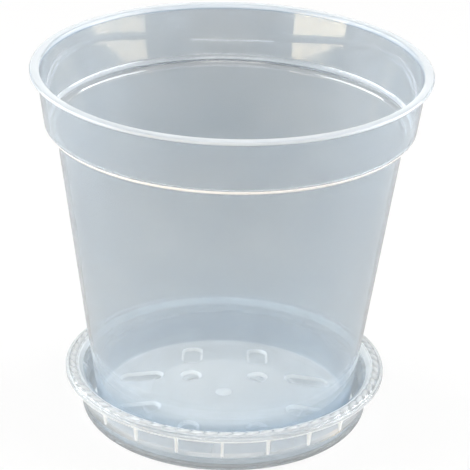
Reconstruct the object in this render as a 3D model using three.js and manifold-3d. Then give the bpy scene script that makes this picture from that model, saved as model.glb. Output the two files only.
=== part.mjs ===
// Frosted-clear orchid pot standing in its drip saucer. Millimetres, +Z up.
// The origin is the centre of the saucer's underside, on the table.
import * as THREE from 'three';
import { mergeVertices } from 'three/addons/utils/BufferGeometryUtils.js';
import Module from 'manifold-3d';

const wasm = await Module();
wasm.setup();

// Pot
const POT_HEIGHT = 139.2;
const POT_WALL = 1.05;
const RIM_DIAMETER = 150;
const RIM_OVERHANG = 2.6;
const RIM_THICKNESS = 1.5;
const RIM_ROUND = 0.7;
const LIP_ROUND = 0.8;
const COLLAR_HEIGHT = 22.4;
const COLLAR_TAPER = 3;
const STEP_WIDTH = 3.9;
const STEP_ROUND = 2;
const STEP_ROOT_ROUND = 1.4;
const FOOT_DIAMETER = 98.2;
const FOOT_RING_WIDTH = 5.2;
const HEEL_ROUND = 1.8;
const FLOOR_THICKNESS = 1.2;
const FLOOR_RISE = 2.2;
const FLOOR_SLOPE_WIDTH = 15.5;
const GATE_DIAMETER = 6.4;
const GATE_HEIGHT = 0.4;

// Drain openings in the pot's floor, on four lines that cross like a hash sign
const HOLE_LINE = 13.2;
const SLOT_LENGTH = 16;
const SLOT_WIDTH = 6.6;
const SLOT_EDGE = 0.8;
const CROSSING_HOLE_DIAMETER = 6.6;

// Saucer
const SAUCER_HEIGHT = 20.1;
const SAUCER_WALL = 1.05;
const SAUCER_FLOOR_THICKNESS = 1.5;
const SAUCER_FOOT_DEPTH = 0.9;
const SAUCER_FOOT_WIDTH = 9.5;
const SAUCER_HEEL_ROUND = 5;
const SAUCER_INNER_ROUND = 2.5;
const BASE_BAND_HEIGHT = 7.2;
const BASE_BAND_BULGE = 0.8;
const BAND_SLOPE_HEIGHT = 1.6;

// How the pot sits in the saucer
const SEAT_CLEARANCE = 0.3;
const MOUTH_CLEARANCE = 2.1;

// Saucer rim with its twisted rope edge
const RIM_SLOPE_WIDTH = 3.2;
const RIM_SLOPE_HEIGHT = 3;
const SAUCER_RIM_WIDTH = 5.1;
const SAUCER_RIM_THICKNESS = 1.2;
const SAUCER_RIM_ROUND = 0.6;
const LIP_DROP = 0.9;
const LIP_WIDTH = 1.3;
const ROPE_INSET = 0.3;
const ROPE_WIDTH = 3.7;
const ROPE_HEIGHT = 0.95;
const ROPE_RIBS = 72;
const RIB_DEPTH = 0.55;
const RIB_TWIST = 3.4;

// Gussets under the saucer's rim, and rings on its floor
const GUSSETS = 20;
const GUSSET_THICKNESS = 1;
const GUSSET_FOOT_REACH = 0.5;
const GUSSET_TOP_REACH = 0.4;
const INNER_RING_RADIUS = 22.6;
const INNER_RING_WIDTH = 2.7;
const OUTER_RING_RADIUS = 31.7;
const OUTER_RING_WIDTH = 1.2;
const RING_HEIGHT = 0.7;

// Facets round the axis, along a fillet and round an opening
const POT_SEGMENTS = 80;
const SAUCER_SEGMENTS = 72;
const ROPE_STEPS = 6;
const FILLET_STEPS = 2;
const SLOT_END_STEPS = 6;
const HOLE_SEGMENTS = 20;

// How far the rope edge is sunk into the rim, and how far a cutter passes what it cuts
const ROPE_ROOT = 0.4;
const CUT_MARGIN = 1;

// Levels and radii that follow from the sizes above
const saucerFloor = SAUCER_FOOT_DEPTH + SAUCER_FLOOR_THICKNESS;
const potSeat = saucerFloor + SEAT_CLEARANCE;
const rimRadius = RIM_DIAMETER / 2;
const rimUnderside = POT_HEIGHT - RIM_THICKNESS;
const collarTopRadius = rimRadius - RIM_OVERHANG;
const collarFootRadius = collarTopRadius - COLLAR_TAPER;
const collarFoot = POT_HEIGHT - COLLAR_HEIGHT;
const wallTopRadius = collarFootRadius - STEP_WIDTH;
const footRadius = FOOT_DIAMETER / 2;
const wallTaper = (wallTopRadius - footRadius) / collarFoot;
const footInnerRadius = footRadius - FOOT_RING_WIDTH;
const floorFlatRadius = footInnerRadius - FLOOR_SLOPE_WIDTH;
const floorTop = FLOOR_RISE + FLOOR_THICKNESS;

const saucerInnerRadius = potRadiusAt(SAUCER_HEIGHT - potSeat) + MOUTH_CLEARANCE;
const saucerOuterRadius = saucerInnerRadius + SAUCER_WALL;
const baseBandRadius = saucerOuterRadius + BASE_BAND_BULGE;
const saucerFootInnerRadius = baseBandRadius - SAUCER_FOOT_WIDTH;
const ropeRootTop = SAUCER_HEIGHT - ROPE_HEIGHT;
const saucerRimUnderside = ropeRootTop - SAUCER_RIM_THICKNESS;
const lipFoot = saucerRimUnderside - LIP_DROP;
const rimSlopeFoot = ropeRootTop - RIM_SLOPE_HEIGHT;
const rimTopInnerRadius = saucerInnerRadius + RIM_SLOPE_WIDTH;
const saucerRimRadius = rimTopInnerRadius + SAUCER_RIM_WIDTH;
const ropeInnerRadius = rimTopInnerRadius + ROPE_INSET;

// Outer radius of the pot's tapered wall at a height above its foot
function potRadiusAt(height) {
  return footRadius + wallTaper * height;
}

// Radius on the slope inside the saucer's rim, moved outwards by an offset, at a depth below the rim's top
function rimSlopeRadiusAt(depth, offset) {
  return saucerInnerRadius + offset + RIM_SLOPE_WIDTH * (1 - depth / RIM_SLOPE_HEIGHT);
}

// A corner of a profile, as radius and height, with the radius of its fillet
function corner(radius, height, fillet = 0) {
  return { point: new THREE.Vector2(radius, height), fillet };
}

// Points of the arc that rounds a corner and touches both of its sides, within half of the shorter one
function filletPoints(before, { point, fillet }, after) {
  const back = before.clone().sub(point);
  const ahead = after.clone().sub(point);
  const longest = Math.min(back.length(), ahead.length()) / 2;
  const halfAngle = back.angleTo(ahead) / 2;
  const reach = Math.min(fillet / Math.tan(halfAngle), longest);
  const turn = -Math.sign(back.cross(ahead)) * (Math.PI - 2 * halfAngle);
  const start = back.setLength(reach).add(point);
  const end = ahead.setLength(reach).add(point);
  const towardsCentre = start.clone().add(end).multiplyScalar(0.5).sub(point);
  const centre = towardsCentre.setLength(reach / Math.cos(halfAngle)).add(point);
  const steps = [...Array(FILLET_STEPS + 1).keys()];
  return steps.map((step) => start.clone().rotateAround(centre, (turn * step) / FILLET_STEPS));
}

// Profile points of a chain of corners, with the fillets drawn as arcs
function filletedProfile(corners) {
  return corners.flatMap((current, index) => {
    if (current.fillet === 0) {
      return [current.point];
    }
    return filletPoints(corners[index - 1].point, current, corners[index + 1].point);
  });
}

// A profile of radius and height turned round the Z axis
function revolve(profile, segments) {
  return new THREE.LatheGeometry(profile, segments).rotateX(Math.PI / 2);
}

// A flat outline extruded upwards from the height given
function prism(shape, bottom, height, curveSegments) {
  const geometry = new THREE.ExtrudeGeometry(shape, { depth: height, bevelEnabled: false, curveSegments });
  return geometry.translate(0, 0, bottom);
}

// A closed geometry as a solid that can be joined and cut
function toSolid(geometry) {
  const bare = geometry.clone();
  bare.deleteAttribute('normal');
  bare.deleteAttribute('uv');
  const merged = mergeVertices(bare);
  const corners = merged.index.array;
  const triangles = [];
  for (let first = 0; first < corners.length; first += 3) {
    const [a, b, c] = corners.subarray(first, first + 3);
    if (a !== b && b !== c && c !== a) {
      triangles.push(a, b, c);
    }
  }
  const mesh = new wasm.Mesh({
    numProp: 3,
    vertProperties: new Float32Array(merged.attributes.position.array),
    triVerts: new Uint32Array(triangles),
  });
  return new wasm.Manifold(mesh);
}

// A solid as a geometry again
function toGeometry(solid) {
  const mesh = solid.getMesh();
  const geometry = new THREE.BufferGeometry();
  geometry.setAttribute('position', new THREE.BufferAttribute(mesh.vertProperties, 3));
  geometry.setIndex(new THREE.BufferAttribute(mesh.triVerts, 1));
  geometry.computeVertexNormals();
  return geometry;
}

// The pot as moulded, before its floor is opened: outside from the floor up to the rim, then down inside
function potShell() {
  const stepTop = collarFoot + POT_WALL;
  const profile = filletedProfile([
    corner(0, FLOOR_RISE),
    corner(floorFlatRadius, FLOOR_RISE),
    corner(footInnerRadius, 0),
    corner(footRadius, 0, HEEL_ROUND),
    corner(wallTopRadius, collarFoot, STEP_ROOT_ROUND),
    corner(collarFootRadius, collarFoot, STEP_ROUND),
    corner(collarTopRadius, rimUnderside),
    corner(rimRadius, rimUnderside, RIM_ROUND),
    corner(rimRadius, POT_HEIGHT, RIM_ROUND),
    corner(collarTopRadius - POT_WALL, POT_HEIGHT, LIP_ROUND),
    corner(collarFootRadius - POT_WALL, stepTop, STEP_ROUND),
    corner(wallTopRadius - POT_WALL, stepTop, STEP_ROOT_ROUND + POT_WALL),
    corner(potRadiusAt(FLOOR_THICKNESS) - POT_WALL, FLOOR_THICKNESS, HEEL_ROUND),
    corner(footInnerRadius, FLOOR_THICKNESS),
    corner(floorFlatRadius, floorTop),
    corner(GATE_DIAMETER / 2, floorTop),
    corner(GATE_DIAMETER / 3, floorTop + 0.8 * GATE_HEIGHT),
    corner(0, floorTop + GATE_HEIGHT),
  ]);
  return toSolid(revolve(profile, POT_SEGMENTS));
}

// A cutter through the pot's floor
function floorCutter(shape, curveSegments) {
  return prism(shape, -CUT_MARGIN, floorTop + 2 * CUT_MARGIN, curveSegments);
}

// A round-ended slot that runs out along X, up to the foot ring
function slotShape() {
  const endRadius = SLOT_WIDTH / 2;
  const outerTip = Math.sqrt((footInnerRadius - SLOT_EDGE) ** 2 - HOLE_LINE ** 2);
  const outerCentre = outerTip - endRadius;
  const innerCentre = outerCentre + SLOT_WIDTH - SLOT_LENGTH;
  const shape = new THREE.Shape();
  shape.absarc(outerCentre, 0, endRadius, -Math.PI / 2, Math.PI / 2);
  shape.absarc(innerCentre, 0, endRadius, Math.PI / 2, (3 * Math.PI) / 2);
  return shape;
}

function roundShape(diameter) {
  return new THREE.Shape().absarc(0, 0, diameter / 2, 0, 2 * Math.PI);
}

// Slots along the four hole lines, and a round hole at each of the two crossings behind the middle
function drainCutters() {
  const slot = floorCutter(slotShape(), SLOT_END_STEPS);
  const crossingHole = floorCutter(roundShape(CROSSING_HOLE_DIAMETER), HOLE_SEGMENTS);
  const cutters = [];
  for (const side of [-HOLE_LINE, HOLE_LINE]) {
    cutters.push(crossingHole.clone().translate(side, HOLE_LINE, 0));
    for (let quarter = 0; quarter < 4; quarter += 1) {
      cutters.push(slot.clone().translate(0, side, 0).rotateZ((quarter * Math.PI) / 2));
    }
  }
  return cutters;
}

function potGeometry() {
  const opened = drainCutters().reduce((solid, cutter) => solid.subtract(toSolid(cutter)), potShell());
  return toGeometry(opened);
}

// Corners of a raised ring on the saucer's floor, from its outside to its inside
function floorRing(radius, width) {
  const outside = radius + width / 2;
  const inside = radius - width / 2;
  const top = saucerFloor + RING_HEIGHT;
  return [corner(outside, saucerFloor), corner(outside, top), corner(inside, top), corner(inside, saucerFloor)];
}

// The dish: underside, base band, wall, rim with its turned-down lip, then down inside to the floor
function saucerDish() {
  const profile = filletedProfile([
    corner(0, SAUCER_FOOT_DEPTH),
    corner(saucerFootInnerRadius, SAUCER_FOOT_DEPTH),
    corner(saucerFootInnerRadius, 0),
    corner(baseBandRadius, 0, SAUCER_HEEL_ROUND),
    corner(baseBandRadius, BASE_BAND_HEIGHT),
    corner(saucerOuterRadius, BASE_BAND_HEIGHT + BAND_SLOPE_HEIGHT),
    corner(saucerOuterRadius, rimSlopeFoot),
    corner(rimSlopeRadiusAt(SAUCER_RIM_THICKNESS, SAUCER_WALL), saucerRimUnderside),
    corner(saucerRimRadius - LIP_WIDTH, saucerRimUnderside),
    corner(saucerRimRadius - LIP_WIDTH, lipFoot),
    corner(saucerRimRadius, lipFoot, SAUCER_RIM_ROUND),
    corner(saucerRimRadius, ropeRootTop, SAUCER_RIM_ROUND),
    corner(rimTopInnerRadius, ropeRootTop),
    corner(saucerInnerRadius, rimSlopeFoot),
    corner(saucerInnerRadius, saucerFloor, SAUCER_INNER_ROUND),
    ...floorRing(OUTER_RING_RADIUS, OUTER_RING_WIDTH),
    ...floorRing(INNER_RING_RADIUS, INNER_RING_WIDTH),
    corner(0, saucerFloor),
  ]);
  return toSolid(revolve(profile, SAUCER_SEGMENTS));
}

// The rope edge: a rounded ring whose section is alternately a ridge and a valley, twisted so that
// each ridge turns clockwise on its way out
function ropeEdge() {
  const halfWidth = ROPE_WIDTH / 2;
  const middle = ropeInnerRadius + halfWidth;
  const root = ropeRootTop - ROPE_ROOT;
  const arch = new THREE.EllipseCurve(middle, ropeRootTop, halfWidth, ROPE_HEIGHT, 0, Math.PI);
  const profile = [
    new THREE.Vector2(middle - halfWidth, root),
    new THREE.Vector2(middle + halfWidth, root),
    ...arch.getPoints(ROPE_STEPS),
    new THREE.Vector2(middle - halfWidth, root),
  ];
  const geometry = new THREE.LatheGeometry(profile, 2 * ROPE_RIBS);
  const position = geometry.attributes.position;
  const vertex = new THREE.Vector3();
  const upright = new THREE.Vector3(0, 1, 0);
  const valleyScale = 1 - RIB_DEPTH / ROPE_HEIGHT;
  for (let index = 0; index < position.count; index += 1) {
    const column = Math.floor(index / profile.length);
    const outwards = profile[index % profile.length].x - ropeInnerRadius;
    const rise = profile[index % profile.length].y - ropeRootTop;
    vertex.fromBufferAttribute(position, index);
    if (column % 2 === 1 && rise > 0) {
      vertex.y = ropeRootTop + rise * valleyScale;
    }
    vertex.applyAxisAngle(upright, (-RIB_TWIST / middle) * (outwards / ROPE_WIDTH));
    position.setXYZ(index, vertex.x, vertex.y, vertex.z);
  }
  return toSolid(geometry.rotateX(Math.PI / 2));
}

// An upright plate between the base band and the rim, rooted in the middle of the walls that it joins
function gussetPlate() {
  const middle = SAUCER_WALL / 2;
  const rimMiddle = SAUCER_RIM_THICKNESS / 2;
  const knee = rimSlopeRadiusAt(rimMiddle, middle);
  const outline = new THREE.Shape([
    new THREE.Vector2(saucerInnerRadius + middle, BASE_BAND_HEIGHT),
    new THREE.Vector2(saucerOuterRadius + GUSSET_FOOT_REACH, BASE_BAND_HEIGHT),
    new THREE.Vector2(knee + GUSSET_TOP_REACH, ropeRootTop - rimMiddle),
    new THREE.Vector2(knee, ropeRootTop - rimMiddle),
    new THREE.Vector2(saucerInnerRadius + middle, rimSlopeFoot),
  ]);
  return prism(outline, -GUSSET_THICKNESS / 2, GUSSET_THICKNESS, 1).rotateX(Math.PI / 2);
}

function saucerGeometry() {
  const plate = gussetPlate();
  let solid = saucerDish().add(ropeEdge());
  for (let index = 0; index < GUSSETS; index += 1) {
    const angle = (2 * Math.PI * index) / GUSSETS - Math.PI / 2;
    solid = solid.add(toSolid(plate.clone().rotateZ(angle)));
  }
  return toGeometry(solid);
}

// Translucent polypropylene, a little cooler than white
function frostedPlastic() {
  return new THREE.MeshStandardMaterial({
    color: '#dbe3e8',
    roughness: 0.3,
    metalness: 0,
    transparent: true,
    opacity: 0.45,
  });
}

function namedMesh(name, geometry) {
  const mesh = new THREE.Mesh(geometry, frostedPlastic());
  mesh.name = name;
  return mesh;
}

const orchidPot = new THREE.Group();
const pot = namedMesh('pot', potGeometry());
pot.position.z = potSeat;
orchidPot.add(namedMesh('saucer', saucerGeometry()), pot);

export default orchidPot;
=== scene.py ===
"""Clear orchid pot standing in its drip saucer, both of frosted polypropylene.

Size fields are in millimetres. Meshes are in metres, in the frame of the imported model.
"""

import logging
import math
from collections.abc import Callable
from dataclasses import dataclass
from enum import Enum

import bpy
import numpy as np
from mathutils import Matrix, Vector


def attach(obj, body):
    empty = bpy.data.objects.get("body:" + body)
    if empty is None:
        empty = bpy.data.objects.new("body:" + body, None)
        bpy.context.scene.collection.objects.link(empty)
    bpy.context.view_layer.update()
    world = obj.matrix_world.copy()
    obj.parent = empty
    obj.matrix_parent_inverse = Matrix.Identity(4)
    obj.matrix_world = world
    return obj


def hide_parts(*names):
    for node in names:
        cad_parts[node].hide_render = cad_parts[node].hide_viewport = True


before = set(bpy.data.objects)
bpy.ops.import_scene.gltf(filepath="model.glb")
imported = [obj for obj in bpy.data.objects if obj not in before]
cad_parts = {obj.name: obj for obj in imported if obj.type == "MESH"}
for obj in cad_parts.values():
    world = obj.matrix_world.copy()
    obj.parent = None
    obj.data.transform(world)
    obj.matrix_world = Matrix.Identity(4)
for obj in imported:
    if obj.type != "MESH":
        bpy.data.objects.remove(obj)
LOG = logging.getLogger("orchid_pot")
MM = 0.001
IMAGE_SIDE = 470
# Turn of a point that faces the camera
FRONT = -math.pi / 2
# Steps along a turned outline, in degrees and in millimetres
ARC_STEP = 9.0
LEAST_ARC_STEPS = 3
LONGEST_RUN = 4.0
LONG_RUN = 1.5
RUN_INSET = 0.3
# Radius that stands in for the axis where one divides by it
NEAR_AXIS = 0.01
Relief = Callable[[np.ndarray, np.ndarray, np.ndarray], np.ndarray]
Levels = tuple[tuple[float, float], ...]


class Body(Enum):
    """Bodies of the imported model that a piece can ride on."""

    POT = "pot"
    SAUCER = "saucer"


class Slot(Enum):
    """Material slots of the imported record."""

    POT = "pot_polypropylene"
    SAUCER = "saucer_polypropylene"


class Cut(Enum):
    """Ways in which one solid is joined with another."""

    TAKE_AWAY = "DIFFERENCE"
    JOIN = "UNION"


class Finish(Enum):
    """Places of the finishes in a piece's list of materials."""

    WALL = 0
    EDGE = 1
    FLOOR = 2
    STEP = 3


@dataclass(frozen=True)
class Corner:
    """One corner of a turned outline: radius, height and rounding."""

    radius: float
    height: float
    fillet: float = 0.0

    @property
    def place(self) -> np.ndarray:
        """Radius and height as one pair."""
        return np.array([self.radius, self.height])


def linear(hex_colour: str) -> tuple[float, float, float, float]:
    """Turn an sRGB hex colour into linear light.

    Args:
        hex_colour: Six hex digits after a hash sign.

    Returns:
        Red, green, blue and a full alpha.
    """
    parts = [int(hex_colour[i:i + 2], 16) / 255 for i in (1, 3, 5)]
    light = [c / 12.92 if c <= 0.04045 else ((c + 0.055) / 1.055) ** 2.4 for c in parts]
    return (light[0], light[1], light[2], 1.0)


def add_node(tree: bpy.types.NodeTree, kind: str, settings: dict | None = None,
             sockets: dict | None = None,
             stops: tuple[tuple[float, tuple], ...] = ()) -> bpy.types.Node:
    """Add one shader node with its settings and links.

    Args:
        tree: Node tree that gets the node.
        kind: Blender's name of the node type.
        settings: Attributes of the node itself.
        sockets: Input name or number against a constant, or against a socket to link from.
        stops: Places and colours of a colour ramp, in order.

    Returns:
        The new node.
    """
    node = tree.nodes.new(kind)
    for name, value in (settings or {}).items():
        setattr(node, name, value)
    for name, value in (sockets or {}).items():
        if isinstance(value, bpy.types.NodeSocket):
            tree.links.new(value, node.inputs[name])
        else:
            node.inputs[name].default_value = value
    for index, (place, colour) in enumerate(stops):
        ramp = node.color_ramp.elements
        stop = ramp[index] if index < 2 else ramp.new(place)
        stop.position, stop.color = place, colour
    return node


def empty_tree(owner: bpy.types.Material | bpy.types.World) -> bpy.types.NodeTree:
    """Switch a material or a world to nodes and clear them.

    Args:
        owner: The material or the world.

    Returns:
        Its empty node tree.
    """
    owner.use_nodes = True
    owner.node_tree.nodes.clear()
    return owner.node_tree


def rounded_outline(corners: list[Corner]) -> np.ndarray:
    """Round the corners of a turned outline and split its long runs.

    Args:
        corners: Corners from the axis on the underside round to the axis on the top.

    Returns:
        Radius and height of each point.
    """
    arcs: list[np.ndarray] = []
    for index, corner in enumerate(corners):
        if not corner.fillet:
            arcs.append(corner.place[None, :])
            continue
        back = corners[index - 1].place - corner.place
        ahead = corners[index + 1].place - corner.place
        back = back / np.linalg.norm(back)
        ahead = ahead / np.linalg.norm(ahead)
        half = 0.5 * math.acos(float(np.clip(back @ ahead, -1, 1)))
        reach = corner.fillet / math.tan(half)
        middle = back + ahead
        centre = corner.place + middle / np.linalg.norm(middle) * corner.fillet / math.sin(half)
        first = corner.place + back * reach - centre
        last = corner.place + ahead * reach - centre
        sweep = math.pi - 2 * half
        count = max(LEAST_ARC_STEPS, math.ceil(math.degrees(sweep) / ARC_STEP))
        share = np.linspace(0, 1, count + 1)[:, None]
        arcs.append(centre + (np.sin((1 - share) * sweep) * first
                              + np.sin(share * sweep) * last) / math.sin(sweep))
    points = [arcs[0]]
    for before, after in zip(arcs, arcs[1:]):
        run = np.linalg.norm(after[0] - before[-1])
        count = max(1, math.ceil(run / LONGEST_RUN))
        steps = list(np.linspace(0, 1, count + 1)[1:-1])
        # A point close to each end of a long run keeps the rounded corner's shading off it.
        if run > LONG_RUN:
            steps = sorted({RUN_INSET / run, 1 - RUN_INSET / run, *steps})
        if steps:
            share = np.array(steps)[:, None]
            points.append(before[-1] * (1 - share) + after[0] * share)
        points.append(after)
    return np.vstack(points)


def new_piece(name: str, points: np.ndarray, faces: list[tuple[int, ...]]) -> bpy.types.Object:
    """Make a mesh object from points in millimetres.

    Args:
        name: Name of the object and of its mesh.
        points: One row of x, y, z for each point.
        faces: Point numbers round each face.

    Returns:
        The object, linked to the scene.
    """
    mesh = bpy.data.meshes.new(name)
    mesh.from_pydata((points * MM).tolist(), [], faces)
    mesh.validate()
    piece = bpy.data.objects.new(name, mesh)
    bpy.context.scene.collection.objects.link(piece)
    return piece


def turned_piece(name: str, outline: np.ndarray, segments: int,
                 relief: Relief | None = None) -> bpy.types.Object:
    """Turn an outline round the upright axis into one closed skin.

    Args:
        name: Name of the piece.
        outline: Radius and height of each point, on the axis at both ends.
        segments: Steps round the axis, the first at the front.
        relief: Gives the height of a point from its radius, height and turn.

    Returns:
        The closed piece.
    """
    turn = np.arange(segments) * 2 * math.pi / segments + FRONT
    radius, angle = np.meshgrid(outline[1:-1, 0], turn, indexing="ij")
    height = np.repeat(outline[1:-1, 1:2], segments, axis=1)
    if relief:
        height = relief(radius, height, angle)
    skin = np.stack([radius * np.cos(angle), radius * np.sin(angle), height], axis=-1)
    poles = np.array([[0, 0, outline[0, 1]], [0, 0, outline[-1, 1]]])
    rings = len(outline) - 2
    under, top = rings * segments, rings * segments + 1
    here = np.arange(segments)
    aside = np.roll(here, -1)
    faces = [(under, int(b), int(a)) for a, b in zip(here, aside)]
    for ring in range(rings - 1):
        low, high = ring * segments, (ring + 1) * segments
        faces += [(low + a, low + b, high + b, high + a)
                  for a, b in zip(here.tolist(), aside.tolist())]
    last = (rings - 1) * segments
    faces += [(last + int(a), last + int(b), top) for a, b in zip(here, aside)]
    return new_piece(name, np.vstack([skin.reshape(-1, 3), poles]), faces)


def blocks(name: str, stacks: list[list[np.ndarray]]) -> bpy.types.Object:
    """Make a set of separate closed blocks as one object.

    Args:
        name: Name of the object.
        stacks: For each block, its matching outlines in space, from one end to the other.

    Returns:
        The object that holds all the blocks.
    """
    points: list[np.ndarray] = []
    faces: list[tuple[int, ...]] = []
    start = 0
    for stack in stacks:
        count = len(stack[0])
        points += stack
        faces.append(tuple(start + i for i in reversed(range(count))))
        for _ in stack[1:]:
            faces += [(start + i, start + (i + 1) % count, start + count + (i + 1) % count,
                       start + count + i) for i in range(count)]
            start += count
        faces.append(tuple(start + i for i in range(count)))
        start += count
    return new_piece(name, np.vstack(points), faces)


def combine(piece: bpy.types.Object, tool: bpy.types.Object, cut: Cut) -> None:
    """Cut a tool out of a piece or join it on, and drop the tool.

    Args:
        piece: Piece that is changed.
        tool: Closed solids to take away or to join.
        cut: Which of the two is done.
    """
    step = piece.modifiers.new("combine", "BOOLEAN")
    step.object = tool
    step.operation = cut.value
    step.solver = "EXACT"
    step.material_mode = "TRANSFER"
    settled = piece.evaluated_get(bpy.context.evaluated_depsgraph_get())
    mesh = bpy.data.meshes.new_from_object(settled)
    piece.modifiers.clear()
    old, piece.data = piece.data, mesh
    mesh.name = piece.name
    bpy.data.meshes.remove(old)
    bpy.data.meshes.remove(tool.data)


def face_places(piece: bpy.types.Object) -> tuple[np.ndarray, np.ndarray, np.ndarray]:
    """Tell where the faces of a turned piece lie.

    Args:
        piece: Piece whose faces are read.

    Returns:
        For each face its radius and height in millimetres, and how far its normal points outwards.
    """
    faces = piece.data.polygons
    centre = np.empty(3 * len(faces))
    normal = np.empty(3 * len(faces))
    faces.foreach_get("center", centre)
    faces.foreach_get("normal", normal)
    centre, normal = centre.reshape(-1, 3) / MM, normal.reshape(-1, 3)
    radius = np.hypot(centre[:, 0], centre[:, 1])
    outward = (centre[:, :2] * normal[:, :2]).sum(axis=1) / np.maximum(radius, NEAR_AXIS)
    return radius, centre[:, 2], outward


def shade(piece: bpy.types.Object, crease: float = 33.0) -> None:
    """Shade a piece smooth, with sharp edges where faces turn by more than the crease.

    Args:
        piece: Piece to shade.
        crease: Angle in degrees.
    """
    mesh = piece.data
    mesh.polygons.foreach_set("use_smooth", [True] * len(mesh.polygons))
    mesh.set_sharp_from_angle(angle=math.radians(crease))
    mesh.update()


@dataclass(frozen=True)
class MouldedPolypropylene:
    """Natural polypropylene, injection moulded in polished steel.

    The resin is uncoloured, so a thin wall lets most of the light straight through. The
    crystals in it scatter the rest as a cool milky haze, more of it where the plastic is
    thick and cooled slowly. The polished mould leaves a smooth skin.

    Clarity pairs a height in millimetres with the share of light that goes straight
    through there, and its last height is the top of the piece.
    """

    name: str
    clarity: Levels
    milky: str = "#f4f8fb"
    hazy: str = "#b6c8d8"
    clear_tint: str = "#e6ecf0"
    tint_stops: tuple[float, float, float] = (0.1, 0.62, 0.9)
    lamp_tint: str = "#969a9e"
    lamp_foot: str = ""
    lamp_stops: tuple[float, float] = (0.3, 0.55)
    roughness: float = 0.03
    roughness_spread: tuple[float, float] = (0.7, 1.4)
    ior: float = 1.49
    cloud_size: float = 34.0
    cloud_detail: float = 3.0
    cloud_roughness: float = 0.55
    cloud_depth: float = 0.03
    ripple_size: float = 11.0
    ripple_detail: float = 1.0
    noise_range: tuple[float, float] = (0.3, 0.7)

    def clearness(self, tree: bpy.types.NodeTree, place: bpy.types.NodeSocket,
                  share: bpy.types.NodeSocket) -> bpy.types.NodeSocket:
        """Work out how much light goes straight through, a little uneven in soft clouds.

        Args:
            tree: Node tree of the material.
            place: Place of a point on the piece.
            share: Height of the point, from 0 at the foot to 1 at the top.

        Returns:
            Share of light that goes straight through.
        """
        low, high = self.noise_range
        cloud = add_node(tree, "ShaderNodeTexNoise", {}, {
            "Vector": place, "Scale": 1 / (self.cloud_size * MM), "Detail": self.cloud_detail,
            "Roughness": self.cloud_roughness}).outputs["Fac"]
        # Thick and slowly cooled places scatter more, so they look whiter than the walls.
        top = self.clarity[-1][0]
        thin = add_node(tree, "ShaderNodeValToRGB", {}, {"Fac": share}, tuple(
            (level / top, (clear, clear, clear, 1)) for level, clear in self.clarity))
        uneven = add_node(tree, "ShaderNodeMapRange", {}, {
            "Value": cloud, "From Min": low, "From Max": high, "To Min": self.cloud_depth,
            "To Max": -self.cloud_depth}).outputs["Result"]
        return add_node(tree, "ShaderNodeMath", {"operation": "ADD", "use_clamp": True}, {
            0: thin.outputs["Color"], 1: uneven}).outputs["Value"]

    def resin(self, tree: bpy.types.NodeTree, place: bpy.types.NodeSocket,
              clear: bpy.types.NodeSocket) -> bpy.types.NodeSocket:
        """Build the plastic itself, tinted by its haze, under a faintly rippled gloss.

        Args:
            tree: Node tree of the material.
            place: Place of a point on the piece.
            clear: Share of light that goes straight through.

        Returns:
            The plastic's shader.
        """
        low, high = self.noise_range
        least, most = self.roughness_spread
        tints = (self.milky, self.hazy, self.clear_tint)
        colour = add_node(tree, "ShaderNodeValToRGB", {}, {"Fac": clear}, tuple(
            (stop, linear(tint)) for stop, tint in zip(self.tint_stops, tints)))
        ripple = add_node(tree, "ShaderNodeTexNoise", {}, {
            "Vector": place, "Scale": 1 / (self.ripple_size * MM),
            "Detail": self.ripple_detail}).outputs["Fac"]
        rough = add_node(tree, "ShaderNodeMapRange", {}, {
            "Value": ripple, "From Min": low, "From Max": high,
            "To Min": self.roughness * least, "To Max": self.roughness * most})
        return add_node(tree, "ShaderNodeBsdfPrincipled", {}, {
            "Base Color": colour.outputs["Color"], "Roughness": rough.outputs["Result"],
            "IOR": self.ior, "Transmission Weight": clear}).outputs["BSDF"]

    def lamp_window(self, tree: bpy.types.NodeTree,
                    share: bpy.types.NodeSocket) -> bpy.types.NodeSocket:
        """Let the lamps light what stands behind the plastic, as the real haze does.

        Args:
            tree: Node tree of the material.
            share: Height of the point, from 0 at the foot to 1 at the top.

        Returns:
            Shader for the rays that look for a lamp.
        """
        # A lighter foot dims the lamps less, which keeps the floor behind it bright.
        tints = (self.lamp_foot or self.lamp_tint, self.lamp_tint)
        dimmed = add_node(tree, "ShaderNodeValToRGB", {}, {"Fac": share}, tuple(
            (stop, linear(tint)) for stop, tint in zip(self.lamp_stops, tints)))
        return add_node(tree, "ShaderNodeBsdfTransparent", {}, {
            "Color": dimmed.outputs["Color"]}).outputs["BSDF"]

    def material(self) -> bpy.types.Material:
        """Build the node material.

        Returns:
            The material.
        """
        made = bpy.data.materials.new(self.name)
        tree = empty_tree(made)
        place = add_node(tree, "ShaderNodeTexCoord").outputs["Object"]
        height = add_node(tree, "ShaderNodeSeparateXYZ", {}, {"Vector": place}).outputs["Z"]
        share = add_node(tree, "ShaderNodeMapRange", {}, {
            "Value": height, "From Min": 0.0,
            "From Max": self.clarity[-1][0] * MM}).outputs["Result"]
        skin = self.resin(tree, place, self.clearness(tree, place, share))
        shadow = add_node(tree, "ShaderNodeLightPath").outputs["Is Shadow Ray"]
        both = add_node(tree, "ShaderNodeMixShader", {}, {
            "Fac": shadow, 1: skin, 2: self.lamp_window(tree, share)}).outputs["Shader"]
        add_node(tree, "ShaderNodeOutputMaterial", {}, {"Surface": both})
        return made


def evenly(clear: float, top: float) -> Levels:
    """Give the same clarity to all heights up to the top."""
    return ((0.0, clear), (top, clear))


def coat(piece: bpy.types.Object, finishes: tuple[MouldedPolypropylene, ...],
         marks: np.ndarray) -> list[bpy.types.Material]:
    """Give a piece its finishes.

    Args:
        piece: Piece to coat.
        finishes: Finishes in the order of Finish.
        marks: For each face, the place of its finish in that order.

    Returns:
        The materials in the same order.
    """
    made = [finish.material() for finish in finishes]
    for material in made:
        piece.data.materials.append(material)
    piece.data.polygons.foreach_set("material_index", marks.astype(np.int32))
    return made


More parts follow.
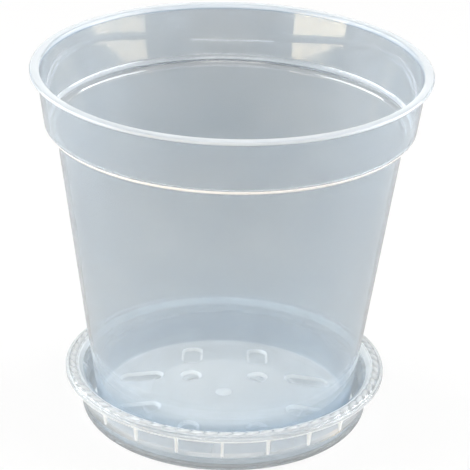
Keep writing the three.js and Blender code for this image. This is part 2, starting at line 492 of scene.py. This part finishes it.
@dataclass
class OrchidPot:
    """Round tapered pot with a stepped collar, a flanged rim and a slotted raised floor."""

    seat: float = 2.7
    height: float = 139.2
    wall: float = 1.05
    rim_radius: float = 75.0
    rim_overhang: float = 2.6
    rim_thickness: float = 1.5
    rim_round: float = 0.7
    flange_round: float = 0.35
    lip_round: float = 0.8
    collar_height: float = 22.4
    collar_taper: float = 3.0
    step_width: float = 3.9
    step_round: float = 2.0
    step_root_round: float = 1.4
    foot_radius: float = 49.1
    foot_ring: float = 5.2
    heel_round: float = 1.8
    floor_thickness: float = 1.2
    floor_rise: float = 2.2
    floor_slope: float = 15.5
    gate_radius: float = 3.2
    gate_height: float = 0.4
    gate_points: int = 9
    hole_line: float = 13.2
    slot_length: float = 16.0
    slot_width: float = 6.6
    slot_edge: float = 0.8
    slot_end_points: int = 19
    crossing_hole: float = 6.6
    hole_points: int = 36
    edge_round: float = 1.0
    cut_past: float = 1.0
    # Height of the band at the collar's lower corner that carries a painted highlight line
    corner_highlight_band: float = 1.7
    step_reach: float = 2.3
    step_outward: float = 0.9
    foot_clarity: float = 0.56
    wall_clarity: Levels = ((22.0, 0.78), (46.0, 0.86), (80.0, 0.81))
    rim_clarity: float = 0.32
    rim_fade: tuple[float, float] = (0.5, 0.3)
    floor_clarity: float = 0.54
    step_clarity: float = 0.86
    edge_clarity: float = 0.06
    segments: int = 288

    @property
    def ledge(self) -> float:
        """Height of the step under the collar, above the foot."""
        return self.height - self.collar_height

    @property
    def floor_top(self) -> float:
        """Height of the flat of the floor, above the foot."""
        return self.floor_rise + self.floor_thickness

    @property
    def foot_inner(self) -> float:
        """Inner radius of the foot ring."""
        return self.foot_radius - self.foot_ring

    def outline(self) -> np.ndarray:
        """Turned outline of the pot.

        Returns:
            Radius and height of each point, from under the floor round to its top.
        """
        collar_top = self.rim_radius - self.rim_overhang
        collar_foot = collar_top - self.collar_taper
        ledge = self.ledge
        wall_top = collar_foot - self.step_width
        taper = (wall_top - self.foot_radius) / ledge
        flat = self.foot_inner - self.floor_slope
        rim_foot = self.height - self.rim_thickness
        inner_heel = self.foot_radius + taper * self.floor_thickness - self.wall
        gate = [Corner(self.gate_radius * math.sin(a),
                       self.floor_top + self.gate_height * math.cos(a) ** 2)
                for a in np.linspace(math.pi / 2, 0, self.gate_points)]
        corners = [
            Corner(0, self.floor_rise),
            Corner(flat, self.floor_rise),
            Corner(self.foot_inner, 0),
            Corner(self.foot_radius, 0, self.heel_round),
            Corner(wall_top, ledge, self.step_root_round),
            Corner(collar_foot, ledge, self.step_round),
            Corner(collar_top, rim_foot, self.flange_round),
            Corner(self.rim_radius, rim_foot, self.rim_round),
            Corner(self.rim_radius, self.height, self.rim_round),
            Corner(collar_top - self.wall, self.height, self.lip_round),
            Corner(collar_foot - self.wall, ledge + self.wall, self.step_round),
            Corner(wall_top - self.wall, ledge + self.wall, self.step_root_round + self.wall),
            Corner(inner_heel, self.floor_thickness, self.heel_round),
            Corner(self.foot_inner, self.floor_thickness),
            Corner(flat, self.floor_top),
            *gate,
        ]
        points = rounded_outline(corners)
        points[:, 1] += self.seat
        return points

    def drain_outlines(self, spread: float) -> list[np.ndarray]:
        """Plan outlines of the drain slots and the round drain holes.

        Args:
            spread: How far each outline is moved outwards.

        Returns:
            For each opening, x and y of the points round it.
        """
        tip = math.sqrt((self.foot_inner - self.slot_edge) ** 2 - self.hole_line ** 2)
        half_turn = np.linspace(-math.pi / 2, math.pi / 2, self.slot_end_points)
        end = np.stack([np.cos(half_turn), np.sin(half_turn)], axis=1)
        end = end * (self.slot_width / 2 + spread)
        outer = end + np.array([tip - self.slot_width / 2, self.hole_line])
        inner = -end + np.array([tip - self.slot_length + self.slot_width / 2, self.hole_line])
        slot = np.vstack([outer, inner])
        openings: list[np.ndarray] = []
        for quarter in range(4):
            c, s = round(math.cos(quarter * math.pi / 2)), round(math.sin(quarter * math.pi / 2))
            turn = np.array([[c, s], [-s, c]])
            openings += [slot @ turn, (slot - np.array([0, 2 * self.hole_line])) @ turn]
        round_turn = np.arange(self.hole_points) * 2 * math.pi / self.hole_points
        circle = np.stack([np.cos(round_turn), np.sin(round_turn)], axis=1)
        openings += [circle * (self.crossing_hole / 2 + spread) + np.array([x, self.hole_line])
                     for x in (-self.hole_line, self.hole_line)]
        return openings

    def floor_height(self, plan: np.ndarray) -> np.ndarray:
        """Height of the floor's top at points of a plan outline.

        Args:
            plan: One row of x and y for each point.

        Returns:
            Height of each point.
        """
        flat = self.foot_inner - self.floor_slope
        return self.seat + np.interp(np.hypot(plan[:, 0], plan[:, 1]), [flat, self.foot_inner],
                                     [self.floor_top, self.floor_thickness])

    def drain_cutters(self) -> bpy.types.Object:
        """Solids that cut the drain openings, flared where they meet the floor's top.

        Returns:
            All the cutters as one object.
        """
        stacks: list[list[np.ndarray]] = []
        below = self.seat - self.cut_past
        above = self.seat + self.floor_top + self.cut_past
        for straight, flared in zip(self.drain_outlines(0), self.drain_outlines(self.edge_round)):
            top = self.floor_height(straight)
            stacks.append([np.column_stack([straight, np.full(len(straight), below)]),
                           np.column_stack([straight, top - self.edge_round]),
                           np.column_stack([flared, top]),
                           np.column_stack([flared, np.full(len(flared), above)])])
        return blocks("drain_cutters", stacks)

    def face_finishes(self, pot: bpy.types.Object) -> np.ndarray:
        """Choose each face's finish, before the openings are cut.

        Args:
            pot: The turned pot.

        Returns:
            For each face, the place of its finish in the order of Finish.
        """
        radius, height, outward = face_places(pot)
        rise = height - self.seat
        # The gate mark gets the milky edge finish, which is partly a painted highlight on it.
        gate = (radius < self.gate_radius) & (rise > self.floor_top)
        # A band round the collar's lower corner gets the milky edge finish: a painted highlight
        # line, which also covers a dark line seen through the wall there.
        half_highlight_band = self.corner_highlight_band / 2
        corner = (outward > 0) & (np.abs(rise - self.ledge - half_highlight_band) < half_highlight_band)
        inside = radius < self.foot_radius - self.wall
        floor = inside & (rise < self.floor_top + self.gate_height) & ~gate
        near_step = np.abs(rise - self.ledge - self.wall) < self.step_reach
        step = near_step & (outward < self.step_outward) & ~corner
        return (Finish.EDGE.value * (gate | corner) + Finish.FLOOR.value * floor
                + Finish.STEP.value * step)

    def build(self) -> bpy.types.Object:
        """Build the pot in one piece, with its drain openings cut through.

        Returns:
            The pot.
        """
        pot = turned_piece("pot_moulding", self.outline(), self.segments)
        finishes = (self.wall_finish(), self.edge_finish(), self.floor_finish(),
                    self.step_finish())
        made = coat(pot, finishes, self.face_finishes(pot))
        cutters = self.drain_cutters()
        # The cut faces of the drain openings get the milky edge finish, which is partly a painted
        # highlight on the slot edges.
        cutters.data.materials.append(made[Finish.EDGE.value])
        combine(pot, cutters, Cut.TAKE_AWAY)
        shade(pot)
        return pot

    def wall_finish(self) -> MouldedPolypropylene:
        """Finish of the wall, clearest below its middle, hazier at the foot and in the rim.

        Returns:
            The finish.
        """
        rim_foot = self.seat + self.height - self.rim_thickness
        before, after = self.rim_fade
        return MouldedPolypropylene("moulded_natural_polypropylene_pot", (
            (0.0, self.foot_clarity), (self.seat + self.floor_top, self.foot_clarity),
            *self.wall_clarity, (rim_foot - before, self.wall_clarity[-1][1]),
            (rim_foot + after, self.rim_clarity),
            (self.seat + self.height, self.rim_clarity)), lamp_foot="#d6d6d5")

    def floor_finish(self) -> MouldedPolypropylene:
        """Finish of the floor, hazy but clear enough to show the saucer under it."""
        return MouldedPolypropylene(
            "moulded_natural_polypropylene_floor", evenly(self.floor_clarity, self.height),
            hazy="#eaecee", lamp_tint="#e4e6e8")

    def step_finish(self) -> MouldedPolypropylene:
        """Finish of the step, clear and a little matt, which blurs its glints."""
        return MouldedPolypropylene(
            "moulded_natural_polypropylene_matt_step", evenly(self.step_clarity, self.height),
            roughness=0.1)

    def edge_finish(self) -> MouldedPolypropylene:
        """Finish of slot edges, gate mark and collar corner: milky resin whose white is partly a
        painted highlight on them.
        """
        return MouldedPolypropylene(
            "moulded_natural_polypropylene_milky_edge_painted_highlight", evenly(self.edge_clarity, self.height),
            milky="#f8f9fa")

    def dress(self, pot: bpy.types.Object) -> None:
        """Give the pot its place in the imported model.

        Args:
            pot: The built pot.
        """
        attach(pot, Body.POT.value)
        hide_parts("pot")


@dataclass
class DripSaucer:
    """Round saucer with a thicker base band, small gussets and a rope-edged rim."""

    height: float = 20.1
    wall: float = 1.05
    inner_radius: float = 53.63
    floor_thickness: float = 1.5
    foot_depth: float = 0.9
    foot_width: float = 9.5
    foot_round: float = 0.3
    heel_round: float = 5.0
    inner_round: float = 2.5
    band_height: float = 7.2
    band_bulge: float = 0.8
    band_slope: float = 1.6
    band_round: float = 0.12
    band_root_round: float = 0.3
    rim_slope_width: float = 3.2
    rim_slope_height: float = 3.0
    slope_round: float = 0.8
    knee_round: float = 0.5
    rim_width: float = 5.1
    rim_thickness: float = 1.2
    rim_round: float = 0.6
    lip_drop: float = 0.9
    lip_width: float = 1.3
    lip_round: float = 0.25
    rope_inset: float = 0.3
    rope_width: float = 3.7
    rope_height: float = 0.95
    rope_points: int = 17
    rope_fullness: float = 0.75
    rope_ribs: int = 72
    rib_depth: float = 0.55
    rib_twist: float = 3.4
    rib_fullness: float = 0.7
    gussets: int = 20
    gusset_thickness: float = 1.0
    gusset_foot_reach: float = 0.5
    gusset_top_reach: float = 0.4
    inner_ring: float = 22.6
    inner_ring_width: float = 2.7
    outer_ring: float = 31.7
    outer_ring_width: float = 1.2
    ring_height: float = 0.7
    ring_round: float = 0.25
    ring_root_round: float = 0.15
    # Bands along the rim's lip and inner edge that carry painted highlight lines
    lip_highlight_band: float = 0.9
    inner_highlight_band: float = 1.8
    inner_highlight_band_depth: float = 1.0
    mark_slack: float = 0.1
    foot_clarity: float = 0.8
    band_clarity: float = 0.88
    band_fade: float = 0.5
    wall_clarity: float = 0.71
    # The rope's crests are hazier than its grooves, which whitens them: thicker resin, and partly
    # a painted highlight on the crests.
    rope_clarity: tuple[float, ...] = (0.76, 0.72, 0.58)
    rope_fade: float = 0.25
    crest_clarity: float = 0.52
    floor_clarity: float = 0.32
    edge_clarity: float = 0.1
    lamp_tint: str = "#e4e6e8"
    steps_per_rib: int = 10

    @property
    def outer_radius(self) -> float:
        """Outside of the wall above the base band."""
        return self.inner_radius + self.wall

    @property
    def rim_top(self) -> float:
        """Height of the rim's flat, from which the rope stands up."""
        return self.height - self.rope_height

    @property
    def floor_top(self) -> float:
        """Height of the floor's top between its rings."""
        return self.foot_depth + self.floor_thickness

    @property
    def slope_foot(self) -> float:
        """Height at which the wall turns out into the rim's slope."""
        return self.rim_top - self.rim_slope_height

    @property
    def lip_foot(self) -> float:
        """Height of the lip's lower edge."""
        return self.rim_top - self.rim_thickness - self.lip_drop

    @property
    def rim_inner(self) -> float:
        """Inner radius of the rim's flat."""
        return self.inner_radius + self.rim_slope_width

    @property
    def rope_start(self) -> float:
        """Inner radius of the rope edge."""
        return self.rim_inner + self.rope_inset

    @property
    def knee(self) -> float:
        """Radius at which the rim's slope meets its underside."""
        across = self.rim_slope_width * (1 - self.rim_thickness / self.rim_slope_height)
        return self.outer_radius + across

    def outline(self) -> np.ndarray:
        """Turned outline of the saucer without gussets.

        Returns:
            Radius and height of each point, from the underside round to the floor's top.
        """
        floor = self.floor_top
        band = self.outer_radius + self.band_bulge
        rim = self.rim_inner + self.rim_width
        under = self.rim_top - self.rim_thickness
        rope = [Corner(self.rope_start + self.rope_width * (1 - s), self.rim_top
                       + self.rope_height * math.sin(math.pi * s) ** self.rope_fullness)
                for s in np.linspace(0, 1, self.rope_points)]
        corners = [
            Corner(0, self.foot_depth),
            Corner(band - self.foot_width, self.foot_depth, self.foot_round),
            Corner(band - self.foot_width, 0, self.foot_round),
            Corner(band, 0, self.heel_round),
            Corner(band, self.band_height, self.band_round),
            Corner(self.outer_radius, self.band_height + self.band_slope, self.band_root_round),
            Corner(self.outer_radius, self.slope_foot, self.slope_round),
            Corner(self.knee, under, self.knee_round),
            Corner(rim - self.lip_width, under, self.lip_round),
            Corner(rim - self.lip_width, self.lip_foot, self.lip_round),
            Corner(rim, self.lip_foot, self.rim_round),
            Corner(rim, self.rim_top, self.rim_round),
            *rope,
            Corner(self.rim_inner, self.rim_top),
            Corner(self.inner_radius, self.slope_foot, self.slope_round),
            Corner(self.inner_radius, floor, self.inner_round),
        ]
        for radius, width in ((self.outer_ring, self.outer_ring_width),
                              (self.inner_ring, self.inner_ring_width)):
            top = floor + self.ring_height
            outside, inside = radius + width / 2, radius - width / 2
            corners += [Corner(outside, floor, self.ring_root_round),
                        Corner(outside, top, self.ring_round),
                        Corner(inside, top, self.ring_round),
                        Corner(inside, floor, self.ring_root_round)]
        corners.append(Corner(0, floor))
        return rounded_outline(corners)

    def rope_relief(self, radius: np.ndarray, height: np.ndarray, turn: np.ndarray) -> np.ndarray:
        """Press slanting grooves into the rope edge.

        Args:
            radius: Radius of each point.
            height: Height of each point before the grooves.
            turn: Angle of each point round the axis.

        Returns:
            Height of each point with the grooves.
        """
        across = (radius - self.rope_start) / self.rope_width
        slant = across * self.rib_twist / (self.rope_start + self.rope_width / 2)
        strand = np.abs(np.sin((turn + slant) * self.rope_ribs / 2)) ** self.rib_fullness
        stands = np.clip(height - self.rim_top, 0, None)
        return height - stands * (1 - strand) * self.rib_depth / self.rope_height

    def gusset_outlines(self) -> list[list[np.ndarray]]:
        """Outlines of the small upright gussets under the rim.

        Returns:
            For each gusset, the outlines of its two faces.
        """
        inside = self.inner_radius + self.wall / 2
        inset = self.rim_thickness / 2
        knee = inside + self.rim_slope_width * (1 - inset / self.rim_slope_height)
        plate = np.array([
            [inside, self.band_height],
            [self.outer_radius + self.gusset_foot_reach, self.band_height],
            [knee + self.gusset_top_reach, self.rim_top - inset],
            [knee, self.rim_top - inset],
            [inside, self.slope_foot]])
        faces: list[list[np.ndarray]] = []
        for index in range(self.gussets):
            turn = index * 2 * math.pi / self.gussets + FRONT
            out = np.array([math.cos(turn), math.sin(turn), 0])
            side = np.array([-math.sin(turn), math.cos(turn), 0]) * self.gusset_thickness / 2
            middle = plate[:, :1] * out + plate[:, 1:] * np.array([0, 0, 1])
            faces.append([middle + side, middle - side])
        return faces

    def build(self) -> bpy.types.Object:
        """Build the saucer in one piece, with its rope edge and gussets.

        Returns:
            The saucer.
        """
        segments = self.rope_ribs * self.steps_per_rib
        saucer = turned_piece("saucer_moulding", self.outline(), segments, self.rope_relief)
        finishes = (self.wall_finish(), self.edge_finish(), self.floor_finish())
        made = coat(saucer, finishes, self.face_finishes(saucer))
        gussets = blocks("gusset_plates", self.gusset_outlines())
        gussets.data.materials.append(made[Finish.FLOOR.value])
        combine(saucer, gussets, Cut.JOIN)
        shade(saucer)
        return saucer

    def face_finishes(self, saucer: bpy.types.Object) -> np.ndarray:
        """Choose each face's finish, before the gussets are joined on.

        Args:
            saucer: The turned saucer.

        Returns:
            For each face, the place of its finish in the order of Finish.
        """
        radius, height, _ = face_places(saucer)
        rings = ((radius < self.outer_ring + self.outer_ring_width)
                 & (height > self.floor_top + self.mark_slack))
        # The rim's inner edge and the lip's lower edge get whiter finishes: painted highlight
        # lines along them.
        inner_painted_highlight = ((np.abs(radius - self.rim_inner) < self.inner_highlight_band / 2)
                      & (height > self.rim_top - self.inner_highlight_band_depth))
        lip_painted_highlight = ((radius > self.rim_inner + self.rim_width - self.lip_width)
                    & (height < self.lip_foot + self.lip_highlight_band)
                    & (height > self.lip_foot - self.mark_slack))
        milky = rings | inner_painted_highlight
        hazy = (radius < self.inner_radius - self.inner_round) | lip_painted_highlight
        return Finish.EDGE.value * milky + Finish.FLOOR.value * (hazy & ~milky)

    def wall_finish(self) -> MouldedPolypropylene:
        """Finish of the wall, clearest in the base band and hazier up to the rope edge.

        Returns:
            The finish.
        """
        rope = [(self.rim_top + level * self.rope_fade, clear)
                for level, clear in enumerate(self.rope_clarity, 1)]
        return MouldedPolypropylene("moulded_natural_polypropylene_saucer", (
            (0.0, self.foot_clarity), (self.band_height - self.band_fade, self.band_clarity),
            (self.band_height + self.band_fade, self.wall_clarity),
            (self.lip_foot, self.wall_clarity), *rope, (self.height, self.crest_clarity)),
            hazy="#e0e5e9", clear_tint="#ccd4da", lamp_tint=self.lamp_tint, roughness=0.14)

    def floor_finish(self) -> MouldedPolypropylene:
        """Finish of floor, gussets and lip, which cool slowly and keep a pale haze; on the lip's
        lower edge that haze is a painted highlight line.
        """
        return MouldedPolypropylene(
            "moulded_natural_polypropylene_saucer_floor",
            evenly(self.floor_clarity, self.height), hazy="#e8ebec", lamp_tint=self.lamp_tint)

    def edge_finish(self) -> MouldedPolypropylene:
        """Finish of the floor's rings, where the resin is milky, and of the rim's inner edge,
        where the milky white is a painted highlight line.
        """
        return MouldedPolypropylene(
            "moulded_natural_polypropylene_saucer_edge_and_highlight",
            evenly(self.edge_clarity, self.height), lamp_tint=self.lamp_tint)

    def dress(self, saucer: bpy.types.Object) -> None:
        """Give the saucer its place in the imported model.

        Args:
            saucer: The built saucer.
        """
        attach(saucer, Body.SAUCER.value)
        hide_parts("saucer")


@dataclass(frozen=True)
class Softbox:
    """One studio lamp with an oblong face, its sizes in metres."""

    name: str
    place: tuple[float, float, float]
    width: float
    height: float
    watts: float
    colour: str = "#ffffff"

    def hang(self, aim: tuple[float, float, float]) -> None:
        """Hang the softbox in the scene.

        Args:
            aim: Point that it faces, in metres.
        """
        lamp = bpy.data.lights.new(self.name, "AREA")
        lamp.shape = "RECTANGLE"
        lamp.size, lamp.size_y = self.width, self.height
        lamp.energy = self.watts
        lamp.color = linear(self.colour)[:3]
        holder = bpy.data.objects.new(self.name, lamp)
        holder.visible_camera = False
        holder.location = self.place
        facing = Vector(aim) - Vector(self.place)
        holder.rotation_euler = facing.to_track_quat("-Z", "Y").to_euler()
        bpy.context.scene.collection.objects.link(holder)


@dataclass
class Studio:
    """Paper floor, pale backdrop, softboxes all round and two strip lights, in metres."""

    aim: tuple[float, float, float] = (0.0, 0.0, 0.07)
    floor_side: float = 60.0
    floor_colour: str = "#aaaaaa"
    floor_to_camera: str = "#616161"
    lift: float = 0.85
    seen_lift: float = 0.06

    def own_light(self, tree: bpy.types.NodeTree) -> bpy.types.NodeSocket:
        """Work out how bright floor and backdrop are of themselves.

        Args:
            tree: Node tree that uses the brightness.

        Returns:
            Brightness for the camera, and a dimmer one for what plastic shows or mirrors.
        """
        path = add_node(tree, "ShaderNodeLightPath").outputs
        shown = add_node(tree, "ShaderNodeMath", {"operation": "MAXIMUM"}, {
            0: path["Is Glossy Ray"], 1: path["Is Transmission Ray"]}).outputs["Value"]
        dimmer = add_node(tree, "ShaderNodeMath", {"operation": "MULTIPLY"}, {
            0: shown, 1: self.seen_lift}).outputs["Value"]
        return add_node(tree, "ShaderNodeMath", {"operation": "MULTIPLY_ADD"}, {
            0: path["Is Camera Ray"], 1: self.lift, 2: dimmer}).outputs["Value"]

    def lay_floor(self) -> None:
        """Lay the white floor, which keeps the object's shadow."""
        half = self.floor_side / 2 / MM
        corners = half * np.array([[-1, -1, 0], [1, -1, 0], [1, 1, 0], [-1, 1, 0]])
        floor = new_piece("studio_floor", corners, [(0, 1, 2, 3)])
        paper = bpy.data.materials.new("matt_white_paper")
        tree = empty_tree(paper)
        for_rays, for_camera = (
            add_node(tree, "ShaderNodeBsdfDiffuse", {}, {"Color": linear(tone)}).outputs["BSDF"]
            for tone in (self.floor_colour, self.floor_to_camera))
        seen = add_node(tree, "ShaderNodeLightPath").outputs["Is Camera Ray"]
        # Matt paper spreads light evenly. To the camera it answers the lamps with a darker
        # grey, so that lamps and own light add up to about white and a shadow still shows.
        sheet = add_node(tree, "ShaderNodeMixShader", {}, {
            0: seen, 1: for_rays, 2: for_camera}).outputs["Shader"]
        glow = add_node(tree, "ShaderNodeEmission", {}, {
            "Strength": self.own_light(tree)}).outputs["Emission"]
        both = add_node(tree, "ShaderNodeAddShader", {}, {0: sheet, 1: glow}).outputs["Shader"]
        add_node(tree, "ShaderNodeOutputMaterial", {}, {"Surface": both})
        floor.data.materials.append(paper)

    def light(self) -> None:
        """Put up the backdrop and hang the lamps."""
        room = bpy.data.worlds.new("studio_room")
        tree = empty_tree(room)
        air = add_node(tree, "ShaderNodeBackground", {}, {
            "Color": linear("#ffffff"), "Strength": self.own_light(tree)}).outputs["Background"]
        add_node(tree, "ShaderNodeOutputWorld", {}, {"Surface": air})
        bpy.context.scene.world = room
        for box in (
            Softbox("strip_right", (0.588, -0.119, 0.066), 0.45, 0.044, 0.55, "#ffe3bc"),
            Softbox("strip_left", (-0.507, -0.3215, 0.084), 0.40, 0.044, 0.8, "#ffdfb4"),
            Softbox("softbox_right", (0.8, 0.1, 0.47), 1.0, 0.36, 10.6),
            Softbox("softbox_left", (-0.8, 0.1, 0.47), 1.0, 0.36, 10.6),
            Softbox("softbox_top", (0.0, 0.0, 1.5), 0.5, 0.5, 4.0, "#fff8f2"),
            Softbox("softbox_low", (0.0, -1.7, 0.26), 1.7, 0.3, 18.0, "#fff6ec"),
            Softbox("softbox_front", (0.0, -1.7, 0.76), 1.7, 0.3, 3.6, "#fffaf6"),
            Softbox("softbox_back", (0.0, 1.4, 0.5), 1.2, 0.6, 3.8, "#fffaf0"),
        ):
            box.hang(self.aim)


@dataclass(frozen=True)
class PhotoCamera:
    """Camera in front of the object and above it, with its angles in degrees."""

    distance: float = 831.3
    height: float = 448.0
    focal_pixels: float = 2387.0
    yaw: float = 0.19
    pitch: float = 24.25
    roll: float = 1.58
    sensor: float = 36.0
    clip_near: float = 0.01

    def place(self) -> None:
        """Put the camera in the scene and make it the scene's camera."""
        yaw, pitch, roll = (math.radians(v) for v in (self.yaw, self.pitch, self.roll))
        ahead = Vector((math.sin(yaw) * math.cos(pitch), math.cos(yaw) * math.cos(pitch),
                        -math.sin(pitch)))
        right = Vector((math.cos(yaw), -math.sin(yaw), 0))
        down = ahead.cross(right)
        across = math.cos(roll) * right - math.sin(roll) * down
        upward = -(math.cos(roll) * down + math.sin(roll) * right)
        camera = bpy.data.cameras.new("photo_camera")
        camera.sensor_width = self.sensor
        camera.lens = self.focal_pixels / IMAGE_SIDE * self.sensor
        camera.clip_start = self.clip_near
        holder = bpy.data.objects.new("photo_camera", camera)
        turn = Matrix((across, upward, -ahead)).transposed().to_4x4()
        holder.matrix_world = Matrix.Translation((0, -self.distance * MM, self.height * MM)) @ turn
        bpy.context.scene.collection.objects.link(holder)
        bpy.context.scene.camera = holder


def main() -> None:
    """Build the pot, the saucer and the studio, and report each piece."""
    logging.basicConfig(level=logging.INFO, format="%(name)s: %(message)s")
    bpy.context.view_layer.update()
    bpy.context.scene.view_settings.view_transform = "Standard"
    PhotoCamera().place()
    for maker in (OrchidPot(), DripSaucer()):
        piece = maker.build()
        maker.dress(piece)
        LOG.info("%s: %d faces", piece.name, len(piece.data.polygons))
    studio = Studio()
    studio.lay_floor()
    studio.light()


if __name__ == "__main__":
    main()
